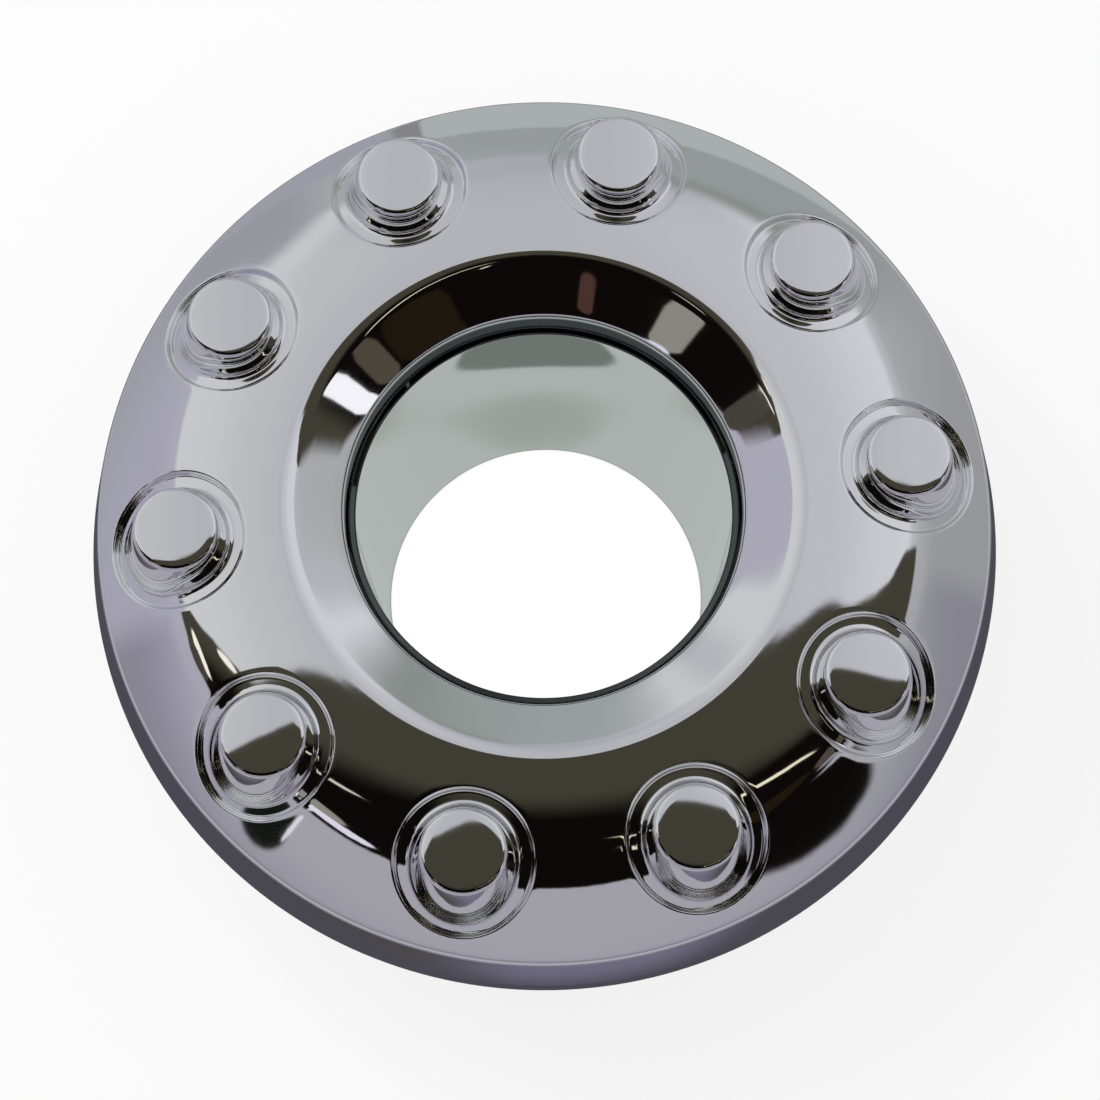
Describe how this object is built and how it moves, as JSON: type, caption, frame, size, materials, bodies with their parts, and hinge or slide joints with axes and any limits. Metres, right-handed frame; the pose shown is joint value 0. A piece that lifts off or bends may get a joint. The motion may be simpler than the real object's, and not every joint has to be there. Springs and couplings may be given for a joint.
{
  "type": "truck wheel simulator",
  "caption": "Round chrome-plated wheel cover with moulded lug caps in shallow recesses, a funnelled open centre and a deep hub sleeve behind.",
  "frame": {"origin": "on the wheel's axis, in the plane of the hub sleeve's rear end, which is the lowest plane of the part", "axes": "+Z along the wheel's axis, outwards from the vehicle; +X through the middle of one lug cap; +Y completes a right-handed frame"},
  "size_m": [0.2912, 0.2912, 0.14],
  "materials": {
    "chrome_plate": "polished chrome plate over moulded plastic"
  },
  "bodies": {
    "root": {"wheel_cover": "chrome_plate"}
  },
  "joints": []
}
